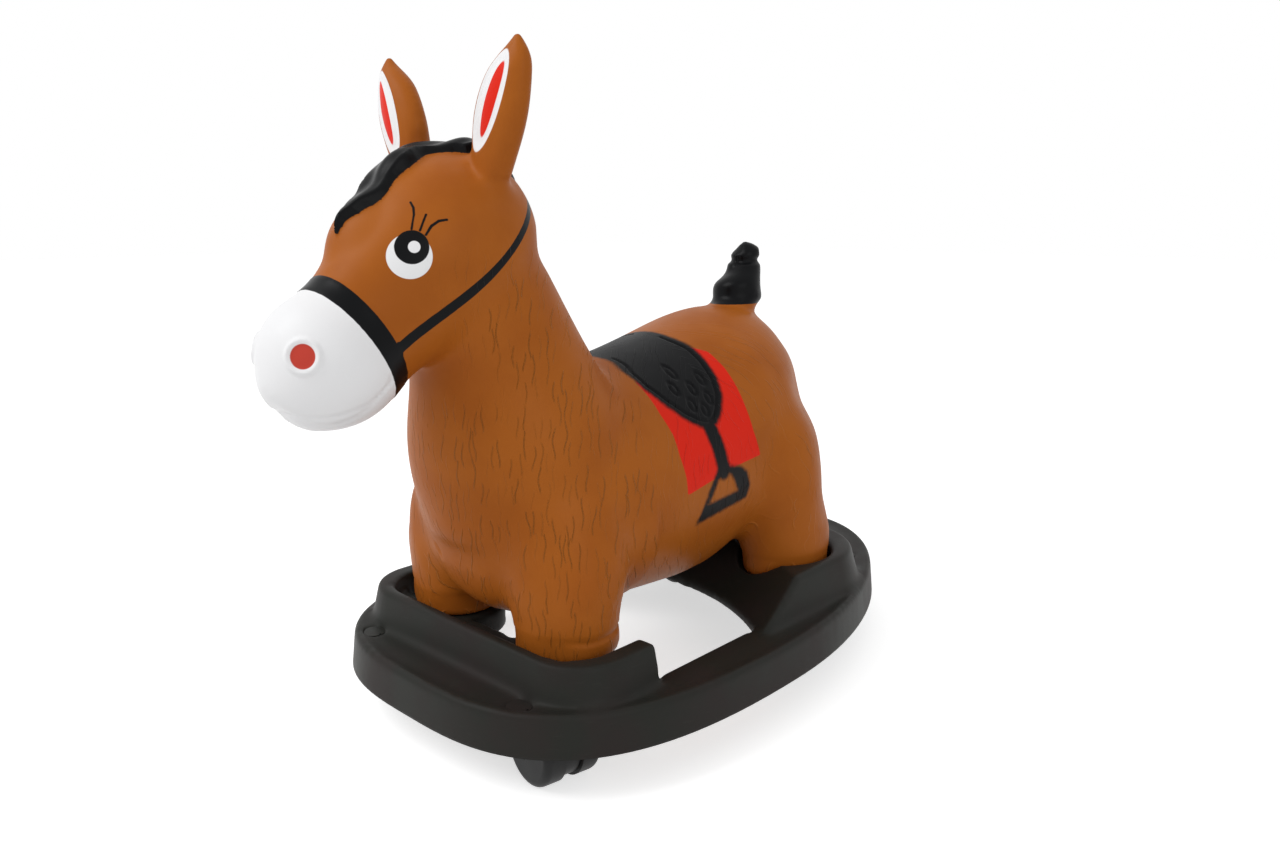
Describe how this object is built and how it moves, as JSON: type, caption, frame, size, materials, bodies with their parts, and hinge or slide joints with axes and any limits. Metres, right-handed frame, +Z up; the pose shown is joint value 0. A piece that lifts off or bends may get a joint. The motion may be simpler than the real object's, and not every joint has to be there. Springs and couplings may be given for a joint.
{
  "type": "hopping horse on a caster base",
  "caption": "Soft inflated hopping horse standing in a moulded black ring base that rolls on twin-wheel swivel casters.",
  "frame": {"origin": "on the floor, midway between the four swivel axes", "axes": "+Z up, +X to the horse's left, -Y the way the horse faces"},
  "size_m": [0.4466, 0.8047, 0.6443],
  "materials": {
    "horse_vinyl": "satin",
    "valve_plastic": "matt",
    "base_plastic": "semi-matt",
    "wheel_plastic": "semi-matt",
    "caster_plastic": "semi-matt",
    "sleeve_plastic": "matt",
    "steel": "zinc plated"
  },
  "bodies": {
    "base": {"base_tray": "base_plastic", "cover_disc_front_left": "base_plastic", "cover_disc_front_right": "base_plastic", "cover_disc_rear_left": "base_plastic", "cover_disc_rear_right": "base_plastic", "caster_front_left_grip_ring": "steel", "caster_front_left_sleeve": "sleeve_plastic", "caster_front_left_stem": "steel", "caster_front_right_grip_ring": "steel", "caster_front_right_sleeve": "sleeve_plastic", "caster_front_right_stem": "steel", "caster_rear_left_grip_ring": "steel", "caster_rear_left_sleeve": "sleeve_plastic", "caster_rear_left_stem": "steel", "caster_rear_right_grip_ring": "steel", "caster_rear_right_sleeve": "sleeve_plastic", "caster_rear_right_stem": "steel"},
    "caster_front_left_swivel": {"caster_front_left_hood": "caster_plastic"},
    "caster_front_left_wheels": {"caster_front_left_axle": "steel", "caster_front_left_wheel_a": "wheel_plastic", "caster_front_left_wheel_b": "wheel_plastic", "caster_front_left_cap_a": "caster_plastic", "caster_front_left_cap_b": "caster_plastic"},
    "caster_front_right_swivel": {"caster_front_right_hood": "caster_plastic"},
    "caster_front_right_wheels": {"caster_front_right_axle": "steel", "caster_front_right_wheel_a": "wheel_plastic", "caster_front_right_wheel_b": "wheel_plastic", "caster_front_right_cap_a": "caster_plastic", "caster_front_right_cap_b": "caster_plastic"},
    "caster_rear_left_swivel": {"caster_rear_left_hood": "caster_plastic"},
    "caster_rear_left_wheels": {"caster_rear_left_axle": "steel", "caster_rear_left_wheel_a": "wheel_plastic", "caster_rear_left_wheel_b": "wheel_plastic", "caster_rear_left_cap_a": "caster_plastic", "caster_rear_left_cap_b": "caster_plastic"},
    "caster_rear_right_swivel": {"caster_rear_right_hood": "caster_plastic"},
    "caster_rear_right_wheels": {"caster_rear_right_axle": "steel", "caster_rear_right_wheel_a": "wheel_plastic", "caster_rear_right_wheel_b": "wheel_plastic", "caster_rear_right_cap_a": "caster_plastic", "caster_rear_right_cap_b": "caster_plastic"},
    "horse": {"horse_skin": "horse_vinyl"},
    "plug": {"valve_plug": "valve_plastic"}
  },
  "joints": [
    {"name": "caster_front_left_turn", "type": "hinge", "parent": "base", "child": "caster_front_left_swivel", "pos_m": [0.103, -0.22753, 0.06], "axis": [0, 0, 1], "continuous": true},
    {"name": "caster_front_left_roll", "type": "hinge", "parent": "caster_front_left_swivel", "child": "caster_front_left_wheels", "pos_m": [0.11777, -0.23013, 0.036], "axis": [0.1736, 0.9848, 0], "continuous": true},
    {"name": "caster_front_right_turn", "type": "hinge", "parent": "base", "child": "caster_front_right_swivel", "pos_m": [-0.103, -0.22753, 0.06], "axis": [0, 0, 1], "continuous": true},
    {"name": "caster_front_right_roll", "type": "hinge", "parent": "caster_front_right_swivel", "child": "caster_front_right_wheels", "pos_m": [-0.11777, -0.23013, 0.036], "axis": [0.1736, -0.9848, 0], "continuous": true},
    {"name": "caster_rear_left_turn", "type": "hinge", "parent": "base", "child": "caster_rear_left_swivel", "pos_m": [0.103, 0.22753, 0.06], "axis": [0, 0, 1], "continuous": true},
    {"name": "caster_rear_left_roll", "type": "hinge", "parent": "caster_rear_left_swivel", "child": "caster_rear_left_wheels", "pos_m": [0.11777, 0.23013, 0.036], "axis": [-0.1736, 0.9848, 0], "continuous": true},
    {"name": "caster_rear_right_turn", "type": "hinge", "parent": "base", "child": "caster_rear_right_swivel", "pos_m": [-0.103, 0.22753, 0.06], "axis": [0, 0, 1], "continuous": true},
    {"name": "caster_rear_right_roll", "type": "hinge", "parent": "caster_rear_right_swivel", "child": "caster_rear_right_wheels", "pos_m": [-0.11777, 0.23013, 0.036], "axis": [-0.1736, -0.9848, 0], "continuous": true},
    {"name": "horse_lift", "type": "slide", "parent": "base", "child": "horse", "axis": [0, 0, 1], "range_m": [0, 0.12]},
    {"name": "plug_pull", "type": "slide", "parent": "horse", "child": "plug", "axis": [0, 0, -1], "range_m": [0, 0.018]}
  ]
}
